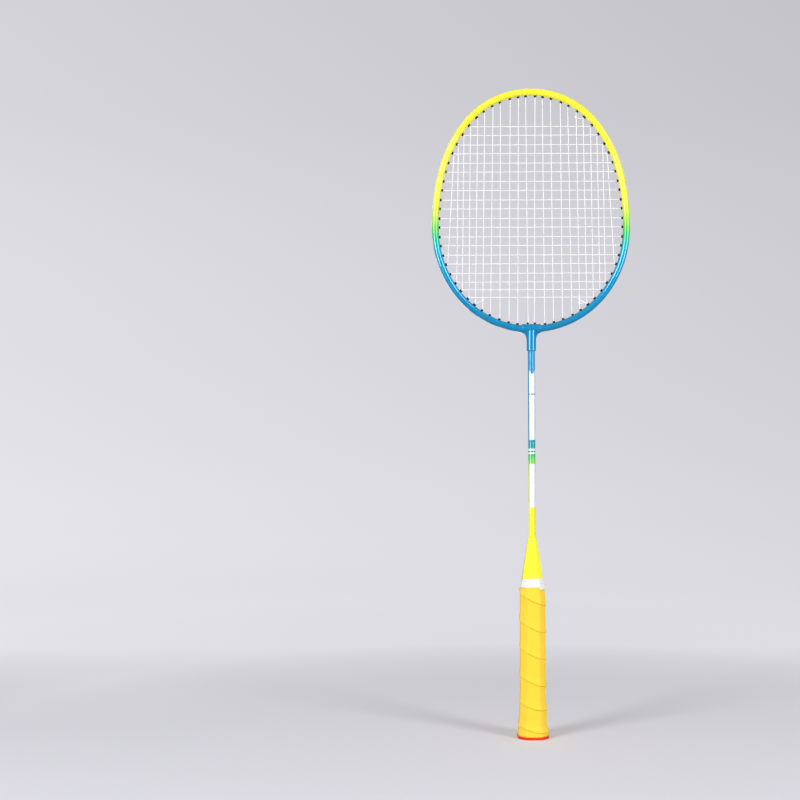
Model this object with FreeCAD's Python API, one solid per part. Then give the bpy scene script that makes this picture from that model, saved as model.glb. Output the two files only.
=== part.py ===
import FreeCAD, Part
import math
import os
from collections import namedtuple

# A badminton racket, in millimetres.
# +Z runs up the shaft, the string bed lies in the XZ plane, -Y is the front, and the origin is the
# centre of the butt's bottom face. The head is symmetrical, so its pieces are worked out for one
# side and repeated with side = -1 and side = 1.

Vector = FreeCAD.Vector
X = Vector(1, 0, 0)
Y = Vector(0, 1, 0)
Z = Vector(0, 0, 1)

# ---- head: one bent tube ------------------------------------------------------------------------
FRAME_LENGTH = 665.9  # from the butt to the crest of the head tube
TUBE_WIDTH = 7.4  # in the plane of the string bed
TUBE_DEPTH = 8.0  # front to back
TUBE_WALL = 0.8
TUBE_END_GAP = 1.2  # between the tube's two ends, inside the T-joint
# The channel along the tube's outer side, in which the flanges and the outside strings lie.
CHANNEL_DEPTH = 1.6  # below the crest of the oval
CHANNEL_FLOOR = 0.75  # half the width of its flat floor
CHANNEL_CORNER = 0.85  # radius between floor and wall
CHANNEL_LIP = 0.3  # radius between wall and oval
# The head's outer edge, from the top down one side: the radius of each arc and how far it turns.
# The last arc, across the bottom, closes the outline and gets its radius from these.
OUTLINE_RADII = (89.4, 138.4, 233.4, 112.4)
OUTLINE_TURNS = (52.5, 24.5, 14.5, 35.5)

# ---- drilling of the head -----------------------------------------------------------------------
# Holes are placed where their grommets show at the tube's inner edge.
TOP_MAIN_X = (4.9, 12.5, 21.1, 31.3, 39.1, 47.9, 55.2)  # mains 1 to 7, from the middle out
BOTTOM_MAIN_X = (14.1, 23.2, 32.7, 42.5, 50.6, 58.2)  # mains 2 to 7
MAIN_COUNT = 11  # on each side
CROSS_COUNT = 20
FIRST_CROSS_Z = 627.9
PAIR_PITCH = 9.15  # between two crosses that share a loop on the -X side
BETWEEN_PAIRS_PITCH = 9.9
LAST_CROSS_PITCH = 8.0  # the last two gaps, near the throat
TOP_SHARED = {8: 1, 9: 2, 10: 3, 11: 4}  # a main, and the cross whose hole it shares at the top
BOTTOM_SHARED = {8: 20, 9: 19, 10: 18, 11: 16}
TIE_OFF_MAIN = 7  # the main whose holes also take the strings' ends

# ---- grommets -----------------------------------------------------------------------------------
GrommetSize = namedtuple("GrommetSize", "bore barrel flange")  # radii
GROMMETS = {
    "single": GrommetSize(0.6, 1.35, 1.6),
    "shared": GrommetSize(1.05, 1.5, 1.8),
    "tie_off": GrommetSize(1.2, 1.75, 2.0),
}
FLANGE_HEIGHT = 0.5  # above the channel's floor
FLANGE_MOUTH = 0.45  # rounding where the string bends over the flange
FLANGE_EDGE = 0.15
BARREL_INSIDE = 1.5  # how far a barrel stands out at the tube's inner edge
HOLE_CLEARANCE = 0.02

# ---- strings ------------------------------------------------------------------------------------
STRING_RADIUS = 0.35
OUTSIDE_GAP = 0.12  # between a string outside the head and the flanges it bends over
WEAVE_OFFSET = 0.38  # of a string's centre, to either side of the string bed's plane
WEAVE_BEND = 3.0
LANE = 0.38  # main and cross lie this far to either side of the middle of a shared hole
END_LANE = 0.76  # and a string's end this far, beside the main in a tie-off hole
TAIL_LANE = 1.14  # where the mains' ends pass outside the other strings
MOUTH_LEAD = 0.9  # from a barrel's inner end to the corner of the string's route
MOUTH_BEND = 1.6
OUTSIDE_BEND = 1.0
TAIL_BEND = 3.0
KNOT_RADIUS = 2 * STRING_RADIUS + 0.06
KNOT_TURNS = 2
KNOT_CORNERS = 8  # a turn
KNOT_PITCH = 0.86
KNOT_TAIL = 1.2

# ---- T-joint ------------------------------------------------------------------------------------
T_SLEEVE_HALF = 9.75
T_SLEEVE_HEIGHT = 9.5
T_SLEEVE_DEPTH = 9.5
T_SLEEVE_EDGE = 0.8
T_TOP_WALL = 1.7  # above the tube, at the middle
T_NECK_RADIUS = 4.75
T_NECK_BOTTOM = 396.3
T_NECK_EDGE = 0.9
T_FILLET_REACH = 10.9  # from the axis, where each fillet meets the tube
T_FILLET_WIDTH = 6.2
T_FILLET_HEIGHT = 8.8
T_RIM_STEP = 1.9  # the fillets' thinner rim
T_RIM_DEPTH = 4.6
T_BODY_DEPTH = 7.0
T_BODY_EDGE = 1.2
T_HOLE_X = 3.8  # mains 1, at the top of the T-joint
T_HOLE_EXIT_X = 6.7
T_HOLE_DROP = 10.6
T_BARREL_RADIUS = 1.1
T_BARREL_LENGTH = 9.5  # from the top of the T-joint down
T_PASSAGE_TURN = 172.0  # past the T-joint on either side
T_GROOVE_WIDTH = 1.9
T_GROOVE_DEPTH = 0.75  # above the middle of the string that lies in it

# ---- shaft --------------------------------------------------------------------------------------
SHAFT_RADIUS = 3.6
SHAFT_WALL = 0.5
SHAFT_BOTTOM = 62.0
SHAFT_TOP_BELOW_TUBE = 1.2
FIT = 0.03  # radial clearance of the shaft and pins

# ---- handle -------------------------------------------------------------------------------------
OCTAGON_FLAT = 0.50  # a flat's share of the handle's width
CORE_STATIONS = ((2.5, 26.6), (8.0, 25.8), (14.0, 24.3), (28.0, 23.8), (36.0, 22.2), (154.9, 21.2))
CORE_NOSE_TOP = (186.0, 11.9)
GRIP_BUTT_STATIONS = ((2.6, 31.0), (8.0, 30.2), (14.0, 28.7), (28.0, 28.2))
GRIP_STATIONS = GRIP_BUTT_STATIONS + ((36.0, 26.5), (140.0, 25.9), (152.0, 24.8), (154.8, 24.0))
CONE_BOTTOM = (155.0, 23.0)
CONE_SHOULDER = (203.8, 9.1)
CONE_TOP = (204.6, 8.3)
CONE_INSIDE = ((155.0, 21.4), (186.4, 12.1))
CONE_EDGE = 0.6
TAPE_BOTTOM = 155.1
TAPE_TOP = 163.6
TAPE_THICKNESS = 0.35
CAP_HEIGHT = 2.5
CAP_WIDTH = 31.8
CAP_CORNER = 4.5
CAP_EDGE = 0.7
NAIL_SPACING = 12.0
NAIL_RADIUS = 0.8
NAIL_HEAD_RADIUS = 1.9
NAIL_HEAD_HEIGHT = 1.0
NAIL_SINK = 0.3
NAIL_LENGTH = 16.0
PIN_Z = 88.0
PIN_RADIUS = 1.2
TACK_Z = 20.0
TACK_RADIUS = 0.6
TACK_LENGTH = 7.0
TACK_HEAD_RADIUS = 2.0
TACK_HEAD_HEIGHT = 0.5

Arc = namedtuple("Arc", "x z radius start end")
Hole = namedtuple("Hole", "kind side point outward inner outer")


# ---- the head's centreline ----------------------------------------------------------------------
def head_arcs():
    """The arcs of the tube's centreline, from the top down the +X side, turning from 0 to 180."""
    arcs = []
    x = 0.0
    z = FRAME_LENGTH - TUBE_WIDTH / 2
    start = 0.0
    for radius, turn in zip(OUTLINE_RADII + (None,), OUTLINE_TURNS + (None,)):
        angle = math.radians(start)
        if radius is None:
            radius = x / math.sin(angle)  # centred on the axis
            end = 180.0
        else:
            radius = radius - TUBE_WIDTH / 2
            end = start + turn
        centre_x = x - radius * math.sin(angle)
        centre_z = z - radius * math.cos(angle)
        arcs.append(Arc(centre_x, centre_z, radius, start, end))
        x = centre_x + radius * math.sin(math.radians(end))
        z = centre_z + radius * math.cos(math.radians(end))
        start = end
    return arcs


HEAD_ARCS = head_arcs()


def head_point(turn, side, offset=0.0):
    """The point of the head at a turn, offset outwards from the tube's centreline."""
    arc = next(a for a in HEAD_ARCS if turn <= a.end)
    return Vector(side * arc.x, 0, arc.z) + outward_at(turn, side) * (arc.radius + offset)


def outward_at(turn, side):
    angle = math.radians(turn)
    return Vector(side * math.sin(angle), 0, math.cos(angle))


def turn_where(reached):
    """The turn at which reached(point at the inner edge) becomes true, going from the top down."""
    low, high = 0.0, 180.0
    while high - low > 1e-7:
        middle = (low + high) / 2
        if reached(head_point(middle, 1, -(TUBE_WIDTH + BARREL_INSIDE) / 2)):
            high = middle
        else:
            low = middle
    return high


def turn_at_top(x):
    return turn_where(lambda p: p.x >= x or p.z < HEAD_WAIST_Z)


def turn_at_bottom(x):
    return turn_where(lambda p: p.x <= x and p.z < HEAD_WAIST_Z)


def turn_at_height(z):
    return turn_where(lambda p: p.z <= z)


HEAD_WAIST_Z = head_point(90.0, 1).z
HEAD_BOTTOM_Z = head_point(180.0, 1).z  # of the centreline
HEAD_UNDERSIDE_Z = HEAD_BOTTOM_Z - TUBE_WIDTH / 2
T_TOP_Z = HEAD_BOTTOM_Z + TUBE_WIDTH / 2 + T_TOP_WALL
T_MIDDLE_Z = T_TOP_Z - T_SLEEVE_HEIGHT / 2
T_FILLET_TOP_Z = HEAD_UNDERSIDE_Z + 1.0
T_FILLET_BOTTOM_Z = T_FILLET_TOP_Z - T_FILLET_HEIGHT
SHAFT_TOP = HEAD_UNDERSIDE_Z - SHAFT_TOP_BELOW_TUBE
FLANGE_TOP = TUBE_WIDTH / 2 - CHANNEL_DEPTH + FLANGE_HEIGHT  # from the tube's centreline


# ---- holes --------------------------------------------------------------------------------------
def drilled_hole(kind, side, turn):
    """A hole straight through the tube, with the two corners of the string that passes through it."""
    point = head_point(turn, side)
    outward = outward_at(turn, side)
    inner = point - outward * (TUBE_WIDTH / 2 + BARREL_INSIDE + MOUTH_LEAD)
    outer = point + outward * (FLANGE_TOP + OUTSIDE_GAP + STRING_RADIUS)
    return Hole(kind, side, point, outward, inner, outer)


def t_joint_hole(side):
    """The slanted hole of a main 1, which leaves the T-joint in the groove of its fillet."""
    top = Vector(side * T_HOLE_X, 0, T_TOP_Z)
    outward = Vector(side * (T_HOLE_EXIT_X - T_HOLE_X), 0, -T_HOLE_DROP).normalize()
    inner = top - outward * (BARREL_INSIDE + MOUTH_LEAD)
    outer = Vector(side * T_HOLE_EXIT_X, 0, T_TOP_Z - T_HOLE_DROP) + outward * STRING_RADIUS
    return Hole("t_joint", side, top, outward, inner, outer)


def cross_heights():
    heights = [FIRST_CROSS_Z]
    for gap in range(1, CROSS_COUNT):
        if gap >= CROSS_COUNT - 2:
            pitch = LAST_CROSS_PITCH
        elif gap % 2:
            pitch = PAIR_PITCH
        else:
            pitch = BETWEEN_PAIRS_PITCH
        heights.append(heights[-1] - pitch)
    return heights


def drill_pattern():
    """Every hole, by (end, number, side): end is top or bottom for mains, and cross for crosses."""
    holes = {}
    shared = set(TOP_SHARED.values()) | set(BOTTOM_SHARED.values())
    for side in (-1, 1):
        for main, x in enumerate(TOP_MAIN_X, 1):
            kind = "tie_off" if main == TIE_OFF_MAIN else "single"
            holes["top", main, side] = drilled_hole(kind, side, turn_at_top(x))
        for cross, z in enumerate(cross_heights(), 1):
            kind = "shared" if cross in shared else "single"
            holes["cross", cross, side] = drilled_hole(kind, side, turn_at_height(z))
        for main, x in enumerate(BOTTOM_MAIN_X, 2):
            kind = "tie_off" if main == TIE_OFF_MAIN else "single"
            holes["bottom", main, side] = drilled_hole(kind, side, turn_at_bottom(x))
        holes["bottom", 1, side] = t_joint_hole(side)
    return holes


HOLES = drill_pattern()


def main_hole(end, main, side):
    shared = TOP_SHARED if end == "top" else BOTTOM_SHARED
    if main in shared:
        return HOLES["cross", shared[main], side]
    return HOLES[end, main, side]


# ---- shapes in common ---------------------------------------------------------------------------
def ellipse_wire(centre, long_axis, short_axis):
    return Part.Wire([Part.Ellipse(centre + long_axis, centre + short_axis, centre).toShape()])


def cylinder(radius, start, end):
    return Part.makeCylinder(radius, (end - start).Length, start, end - start)


def octagon(z, width):
    """The handle's outline: four flats and four 45 degree corners."""
    half = width / 2
    flat = half * OCTAGON_FLAT
    corners = [(half, flat), (flat, half), (-flat, half), (-half, flat)]
    corners += [(-x, -y) for x, y in corners]
    points = [Vector(x, y, z) for x, y in corners]
    return Part.makePolygon(points + points[:1])


def octagon_loft(stations):
    return Part.makeLoft([octagon(z, width) for z, width in stations], True, True)


def swept_string(route):
    """A round string along straight runs and tangent arcs. route holds (point, bend radius)."""
    points = [point for point, _ in route]
    edges = []
    start = points[0]
    for before, (corner, bend), after in zip(points, route[1:], points[2:]):
        back = (before - corner).normalize()
        on = (after - corner).normalize()
        half_angle = back.getAngle(on) / 2
        tangent = bend / math.tan(half_angle)
        arc_start = corner + back * tangent
        arc_end = corner + on * tangent
        arc_middle = corner + (back + on).normalize() * (bend / math.sin(half_angle) - bend)
        edges.append(Part.LineSegment(start, arc_start).toShape())
        edges.append(Part.Arc(arc_start, arc_middle, arc_end).toShape())
        start = arc_end
    edges.append(Part.LineSegment(start, points[-1]).toShape())
    path = Part.Wire(edges)
    section = Part.Wire([Part.makeCircle(STRING_RADIUS, points[0], points[1] - points[0])])
    string = path.makePipeShell([section], True, False)
    expected = math.pi * STRING_RADIUS**2 * path.Length
    bends = [bend for _, bend in route[1:-1]]
    share = string.Volume / expected
    radii = sorted(set(bends))
    print(f"  string: {path.Length:.0f} mm along its route, volume {share:.4f} of section x length,")
    print(f"  {len(bends)} bends with radii of {radii} mm, string radius {STRING_RADIUS} mm")
    return string


# ---- head ---------------------------------------------------------------------------------------
def channelled_oval(centre, outward, inset):
    """The tube's outline across its length, or its hollow's with an inset."""
    half_depth = TUBE_DEPTH / 2 - inset
    half_width = TUBE_WIDTH / 2 - inset
    floor = TUBE_WIDTH / 2 - CHANNEL_DEPTH - inset
    corner = CHANNEL_CORNER + inset
    corner_height = floor + corner

    def at(y, height):
        return centre + Y * y + outward * height

    def lip(angle):
        """On the oval, and on the inside of it by the lip's radius: (y, height) of each."""
        y = half_depth * math.cos(angle)
        height = half_width * math.sin(angle)
        slope_y = math.cos(angle) / half_depth
        slope_height = math.sin(angle) / half_width
        share = CHANNEL_LIP / math.hypot(slope_y, slope_height)
        return (y, height), (y - slope_y * share, height - slope_height * share)

    low = 0.0
    high = math.pi / 2
    while high - low > 1e-9:
        angle = (low + high) / 2
        _, (y, height) = lip(angle)
        if math.hypot(y - CHANNEL_FLOOR, height - corner_height) > corner + CHANNEL_LIP:
            low = angle
        else:
            high = angle
    (oval_y, oval_height), (lip_y, lip_height) = lip(low)
    wall_share = corner / (corner + CHANNEL_LIP)
    wall_y = CHANNEL_FLOOR + (lip_y - CHANNEL_FLOOR) * wall_share
    wall_height = corner_height + (lip_height - corner_height) * wall_share
    floor_turn = (math.atan2(wall_height - corner_height, wall_y - CHANNEL_FLOOR) - math.pi / 2) / 2
    back_y = (oval_y + wall_y) / 2 - lip_y
    back_height = (oval_height + wall_height) / 2 - lip_height
    back = CHANNEL_LIP / math.hypot(back_y, back_height)

    oval = Part.Ellipse(at(half_depth, 0), at(0, -half_width), centre)
    edges = [Part.ArcOfEllipse(oval, -low, math.pi + low).toShape()]
    for side in (-1, 1):
        on_oval = at(side * oval_y, oval_height)
        on_lip = at(side * (lip_y + back_y * back), lip_height + back_height * back)
        on_wall = at(side * wall_y, wall_height)
        on_corner = at(
            side * (CHANNEL_FLOOR + corner * math.cos(floor_turn)),
            corner_height + corner * math.sin(floor_turn),
        )
        on_floor = at(side * CHANNEL_FLOOR, floor)
        edges.append(Part.Arc(on_oval, on_lip, on_wall).toShape())
        edges.append(Part.Arc(on_wall, on_corner, on_floor).toShape())
    edges.append(Part.LineSegment(at(-CHANNEL_FLOOR, floor), at(CHANNEL_FLOOR, floor)).toShape())
    return Part.Wire(Part.__sortEdges__(edges))


def head_sweep(inset):
    """The head tube's outer form, or its inside with an inset, from one end round to the other."""
    end_turn = 180.0 - math.degrees(TUBE_END_GAP / 2 / HEAD_ARCS[-1].radius)
    edges = []
    for side, arcs in ((1, reversed(HEAD_ARCS)), (-1, HEAD_ARCS)):
        for arc in arcs:
            turns = [arc.start, min(arc.end, end_turn)]
            if side == 1:
                turns.reverse()
            turns.insert(1, sum(turns) / 2)
            edges.append(Part.Arc(*[head_point(turn, side) for turn in turns]).toShape())
    section = channelled_oval(head_point(end_turn, 1), outward_at(end_turn, 1), inset)
    return Part.Wire(edges).makePipeShell([section], True, False)


def t_joint_passage():
    """Where the tube's ends go into the T-joint, from side to side."""
    across = outward_at(T_PASSAGE_TURN, 1) * (TUBE_WIDTH / 2)
    section = Part.Face(ellipse_wire(head_point(T_PASSAGE_TURN, 1), Y * (TUBE_DEPTH / 2), across))
    return section.revolve(Vector(0, 0, HEAD_ARCS[-1].z), Y, 2 * (180.0 - T_PASSAGE_TURN))


def hole_drill(hole):
    """What drilling a hole removes, a little larger than the grommet's barrel."""
    if hole.kind == "t_joint":
        return cylinder(T_BARREL_RADIUS + HOLE_CLEARANCE, hole.inner, hole.outer)
    reach = hole.outward * (TUBE_WIDTH / 2 + 1.0)
    return cylinder(GROMMETS[hole.kind].barrel + HOLE_CLEARANCE, hole.point - reach, hole.point + reach)


def make_head_frame():
    tube = head_sweep(0.0).cut(head_sweep(TUBE_WALL))
    return tube.cut([hole_drill(hole) for hole in HOLES.values()])


def t_fillet_web(step, depth):
    """The flat web that carries both fillets, its edge stepped in by step."""
    reach = T_FILLET_REACH
    edges = []
    for side in (-1, 1):
        centre = Vector(side * reach, -depth / 2, T_FILLET_BOTTOM_Z)
        long_axis = Z * (T_FILLET_HEIGHT + step)
        short_axis = X * (-side * (T_FILLET_WIDTH + step))
        curve = Part.Ellipse(centre + long_axis, centre + short_axis, centre)
        edges.append(Part.ArcOfEllipse(curve, 0, math.pi / 2).toShape())
    left, right = edges
    foot = [min(e.Vertexes, key=lambda v: v.Z).Point for e in (left, right)]
    head = [max(e.Vertexes, key=lambda v: v.Z).Point for e in (left, right)]
    top = [Vector(p.x, p.y, T_MIDDLE_Z + 1.0) for p in head]
    edges.append(Part.LineSegment(foot[0], foot[1]).toShape())
    edges.append(Part.LineSegment(top[0], top[1]).toShape())
    edges.append(Part.LineSegment(head[0], top[0]).toShape())
    edges.append(Part.LineSegment(head[1], top[1]).toShape())
    outline = Part.Wire(Part.__sortEdges__(edges))
    return Part.Face(outline).extrude(Y * depth)


def curved_edges(shape):
    return [e for e in shape.Edges if isinstance(e.Curve, Part.Ellipse)]


def t_groove(side):
    """The channel in a fillet's edge, where the string runs from main 1 to main 2."""
    start = HOLES["bottom", 1, side].outer
    end = HOLES["bottom", 2, side].outer
    along = (end - start).normalize()
    up = Vector(-side * along.z, 0, side * along.x)
    corners = [
        start - along * 1.4 + up * T_GROOVE_DEPTH,
        end + up * T_GROOVE_DEPTH,
        end - up * 6.0,
        start - along * 1.4 - up * 6.0,
    ]
    corners = [c - Y * (T_GROOVE_WIDTH / 2) for c in corners]
    return Part.Face(Part.makePolygon(corners + corners[:1])).extrude(Y * T_GROOVE_WIDTH)


def make_t_joint():
    sleeve_start = Vector(-T_SLEEVE_HALF, 0, T_MIDDLE_Z)
    section = Part.Face(ellipse_wire(sleeve_start, Y * (T_SLEEVE_DEPTH / 2), Z * (T_SLEEVE_HEIGHT / 2)))
    sleeve = section.extrude(X * (2 * T_SLEEVE_HALF))
    sleeve = sleeve.makeFillet(T_SLEEVE_EDGE, curved_edges(sleeve))
    neck_bottom = Vector(0, 0, T_NECK_BOTTOM)
    neck = cylinder(T_NECK_RADIUS, neck_bottom, Vector(0, 0, T_MIDDLE_Z))
    neck = neck.makeFillet(T_NECK_EDGE, [e for e in neck.Edges if e.CenterOfMass.z < T_NECK_BOTTOM + 0.1])
    body = t_fillet_web(T_RIM_STEP, T_BODY_DEPTH)
    body = body.makeFillet(T_BODY_EDGE, curved_edges(body))
    joint = sleeve.fuse([neck, body, t_fillet_web(0.0, T_RIM_DEPTH)])
    joint = joint.cut(t_joint_passage())
    socket = cylinder(SHAFT_RADIUS + FIT, neck_bottom, Vector(0, 0, SHAFT_TOP + 0.3))
    cuts = [socket]
    for side in (-1, 1):
        cuts.append(hole_drill(HOLES["bottom", 1, side]))
        cuts.append(t_groove(side))
    return joint.cut(cuts)


# ---- grommets -----------------------------------------------------------------------------------
def revolved(profile):
    """A solid turned about Z from (radius, height) points. A third number rounds that corner."""
    edges = []
    count = len(profile)
    cut_points = []
    for i, (radius, height, *rounding) in enumerate(profile):
        corner = Vector(radius, 0, height)
        if not rounding:
            cut_points.append((corner, corner))
            continue
        before = Vector(profile[i - 1][0], 0, profile[i - 1][1])
        after = Vector(profile[(i + 1) % count][0], 0, profile[(i + 1) % count][1])
        back = (before - corner).normalize()
        on = (after - corner).normalize()
        bend = rounding[0]
        middle = corner + (back + on) * bend * (1 - math.sqrt(0.5))
        cut_points.append((corner + back * bend, corner + on * bend))
        edges.append(Part.Arc(corner + back * bend, middle, corner + on * bend).toShape())
    for (_, leave), (arrive, _) in zip(cut_points, cut_points[1:] + cut_points[:1]):
        edges.append(Part.LineSegment(leave, arrive).toShape())
    face = Part.Face(Part.Wire(Part.__sortEdges__(edges)))
    return face.revolve(Vector(0, 0, 0), Z, 360)


def grommet_form(kind):
    """A barrel along Z through a tube that runs along X, and a flange that follows the tube."""
    if kind == "t_joint":
        bore = GROMMETS["single"].bore
        return revolved([
            (bore, -BARREL_INSIDE),
            (T_BARREL_RADIUS, -BARREL_INSIDE, 0.2),
            (T_BARREL_RADIUS, T_BARREL_LENGTH),
            (bore, T_BARREL_LENGTH),
        ])
    size = GROMMETS[kind]
    inside = -TUBE_WIDTH / 2 - BARREL_INSIDE
    under = FLANGE_TOP - FLANGE_HEIGHT - 0.3
    barrel = revolved([
        (size.bore, inside),
        (size.barrel, inside, 0.2),
        (size.barrel, FLANGE_TOP - FLANGE_EDGE),
        (size.bore, FLANGE_TOP - FLANGE_MOUTH),
    ])
    flange = revolved([
        (size.bore, under),
        (size.flange, under),
        (size.flange, FLANGE_TOP, FLANGE_EDGE),
        (size.bore, FLANGE_TOP, FLANGE_MOUTH),
    ])
    start = X * -size.flange * 1.2
    tube = Part.Face(channelled_oval(start, Z, 0.0)).extrude(start * -2)
    return flange.cut(tube).fuse(barrel).removeSplitter()


GROMMET_FORMS = {kind: grommet_form(kind) for kind in ("single", "shared", "tie_off", "t_joint")}


def make_grommet(hole):
    grommet = GROMMET_FORMS[hole.kind].copy()
    grommet.Placement = FreeCAD.Placement(hole.point, FreeCAD.Rotation(Z, hole.outward))
    return grommet


def grommet_groups():
    """Grommets of one kind and place share a node."""
    sides = {-1: "left", 1: "right"}
    groups = {}
    for (end, number, side), hole in HOLES.items():
        if hole.kind == "tie_off":
            name = "grommets_tie_off"
        elif hole.kind == "t_joint":
            name = "grommets_t_joint"
        elif end == "top":
            name = f"grommets_top_{sides[side]}"
        elif end == "bottom":
            name = f"grommets_throat_{sides[side]}"
        elif hole.kind == "shared":
            place = "shoulder" if number in TOP_SHARED.values() else "lower"
            name = f"grommets_{place}_{sides[side]}"
        else:
            name = f"grommets_side_{sides[side]}"
        groups.setdefault(name, []).append(hole)
    return groups


# ---- strings ------------------------------------------------------------------------------------
def lane_point(point, lane):
    return Vector(point.x, lane, point.z)


def main_lane(end, main):
    return LANE if main in (TOP_SHARED if end == "top" else BOTTOM_SHARED) else 0.0


def cross_lane(cross):
    return -LANE if HOLES["cross", cross, 1].kind == "shared" else 0.0


def weave_side(main, side, cross):
    """1 where a main passes behind a cross, and -1 where it passes in front."""
    return 1 if (side * main + (side > 0) + cross) % 2 else -1


def crossing(main, side, cross):
    """Where a main and a cross meet in the plane of the string bed, or None."""
    top = main_hole("top", main, side).inner
    bottom = main_hole("bottom", main, side).inner
    z = HOLES["cross", cross, side].inner.z
    if not bottom.z + 1.0 < z < top.z - 1.0:
        return None
    share = (z - bottom.z) / (top.z - bottom.z)
    return Vector(bottom.x + (top.x - bottom.x) * share, 0, z)


def through(hole, lane):
    """The two corners of a string that goes out through a hole."""
    return [(lane_point(hole.inner, lane), MOUTH_BEND), (lane_point(hole.outer, lane), OUTSIDE_BEND)]


def main_down(main, side):
    """One main, from the outside at the top to the outside at the bottom."""
    route = through(main_hole("top", main, side), main_lane("top", main))[::-1]
    for cross in range(1, CROSS_COUNT + 1):
        meeting = crossing(main, side, cross)
        if meeting:
            offset = WEAVE_OFFSET * weave_side(main, side, cross)
            route.append((lane_point(meeting, offset), WEAVE_BEND))
    return route + through(main_hole("bottom", main, side), main_lane("bottom", main))


def knot(below, above, mouth, share):
    """A string's end: turns rising round a main, a share of the way from below to above."""
    axis = (above - below).normalize()
    centre = below + (above - below) * share
    towards = mouth - centre
    out = (towards - axis * towards.dot(axis)).normalize()
    wide = Y * math.copysign(1.0, mouth.y)
    wide = (wide - axis * wide.dot(axis) - out * wide.dot(out)).normalize()
    half_step = math.pi / KNOT_CORNERS
    corner_radius = KNOT_RADIUS / math.cos(half_step)
    route = []
    for i in range(KNOT_TURNS * KNOT_CORNERS):
        angle = math.pi / 2 + half_step * (2 * i + 1)
        rise = KNOT_PITCH * i / KNOT_CORNERS
        spot = centre + (out * math.cos(angle) + wide * math.sin(angle)) * corner_radius + axis * rise
        route.append((spot, 0.75 * KNOT_RADIUS))
    route.append((route[-1][0] - out * (KNOT_TAIL + KNOT_RADIUS), None))
    return route


def bottom_knot(side, lane, share):
    """A string's end that comes in by the tie-off hole and is knotted round the next main."""
    post_main = TIE_OFF_MAIN - 1
    below = main_hole("bottom", post_main, side).inner
    meeting = crossing(post_main, side, CROSS_COUNT)
    above = lane_point(meeting, WEAVE_OFFSET * weave_side(post_main, side, CROSS_COUNT))
    mouth = lane_point(main_hole("bottom", TIE_OFF_MAIN, side).inner, lane)
    return knot(below, above, mouth, share)


def half_of_mains(side):
    """From the middle of the head to one end of the main string."""
    route = []
    for main in range(1, MAIN_COUNT + 1):
        down = main_down(main, side)
        route += down if main % 2 else down[::-1]
    tie_off = main_hole("bottom", TIE_OFF_MAIN, side)
    for cross in range(BOTTOM_SHARED[MAIN_COUNT] + 1, CROSS_COUNT + 1):
        route.append((lane_point(HOLES["cross", cross, side].outer, TAIL_LANE), TAIL_BEND))
    route += through(tie_off, END_LANE)[::-1]
    return route + bottom_knot(side, END_LANE, 0.74)


def make_main_string():
    return swept_string(half_of_mains(-1)[::-1] + half_of_mains(1))


def cross_over(cross):
    """One cross, from the outside at -X to the outside at +X."""
    route = through(HOLES["cross", cross, -1], cross_lane(cross))[::-1]
    mains = [(main, -1) for main in range(MAIN_COUNT, 0, -1)]
    mains += [(main, 1) for main in range(1, MAIN_COUNT + 1)]
    for main, side in mains:
        meeting = crossing(main, side, cross)
        if meeting:
            offset = -WEAVE_OFFSET * weave_side(main, side, cross)
            route.append((lane_point(meeting, offset), WEAVE_BEND))
    return route + through(HOLES["cross", cross, 1], cross_lane(cross))


def make_cross_string():
    """Both ends are tied off on the +X side, the first at the top and the last at the throat."""
    post_main = TIE_OFF_MAIN - 1
    top_tie_off = main_hole("top", TIE_OFF_MAIN, 1)
    above = main_hole("top", post_main, 1).inner
    meeting = crossing(post_main, 1, 1)
    below = lane_point(meeting, WEAVE_OFFSET * weave_side(post_main, 1, 1))
    mouth = lane_point(top_tie_off.inner, -END_LANE)
    route = knot(below, above, mouth, 0.6)[::-1]
    route += through(top_tie_off, -END_LANE)
    for cross in range(1, CROSS_COUNT + 1):
        over = cross_over(cross)
        route += over[::-1] if cross % 2 else over
    route += through(main_hole("bottom", TIE_OFF_MAIN, 1), -END_LANE)[::-1]
    return swept_string(route + bottom_knot(1, -END_LANE, 0.44))


# ---- shaft and handle ---------------------------------------------------------------------------
def make_shaft():
    bottom = Vector(0, 0, SHAFT_BOTTOM)
    top = Vector(0, 0, SHAFT_TOP)
    shaft = cylinder(SHAFT_RADIUS, bottom, top).cut(cylinder(SHAFT_RADIUS - SHAFT_WALL, bottom, top))
    return shaft.cut(pin_form(FIT))


def pin_form(clearance):
    """The pin across the handle that holds the shaft, flush with the core's front and back."""
    (low_z, low_width), (high_z, high_width) = CORE_STATIONS[-2:]
    share = (PIN_Z - PIN_RADIUS - low_z) / (high_z - low_z)
    half = (low_width + (high_width - low_width) * share) / 2 - 0.1
    return cylinder(PIN_RADIUS + clearance, Vector(0, -half, PIN_Z), Vector(0, half, PIN_Z))


def core_form():
    return octagon_loft(CORE_STATIONS)


def tack_form(clearance):
    """The tack that holds the start of the grip: its head lies on the back of the core."""
    (low_z, low_width), (high_z, high_width) = CORE_STATIONS[2:4]
    share = (TACK_Z + TACK_HEAD_RADIUS - low_z) / (high_z - low_z)
    seat = (low_width + (high_width - low_width) * share) / 2
    head = cylinder(
        TACK_HEAD_RADIUS + clearance,
        Vector(0, seat - clearance, TACK_Z),
        Vector(0, seat + TACK_HEAD_HEIGHT + clearance, TACK_Z),
    )
    point = Vector(0, seat - TACK_LENGTH, TACK_Z)
    return head.fuse(cylinder(TACK_RADIUS + clearance, point, Vector(0, seat, TACK_Z)))


def nail_form(side, clearance):
    foot = Vector(side * NAIL_SPACING / 2, 0, NAIL_SINK - clearance)
    head_top = foot + Z * (NAIL_HEAD_HEIGHT + clearance)
    head = cylinder(NAIL_HEAD_RADIUS + clearance, foot, head_top)
    return head.fuse(cylinder(NAIL_RADIUS + clearance, head_top, foot + Z * (NAIL_LENGTH + 2 * clearance)))


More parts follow.
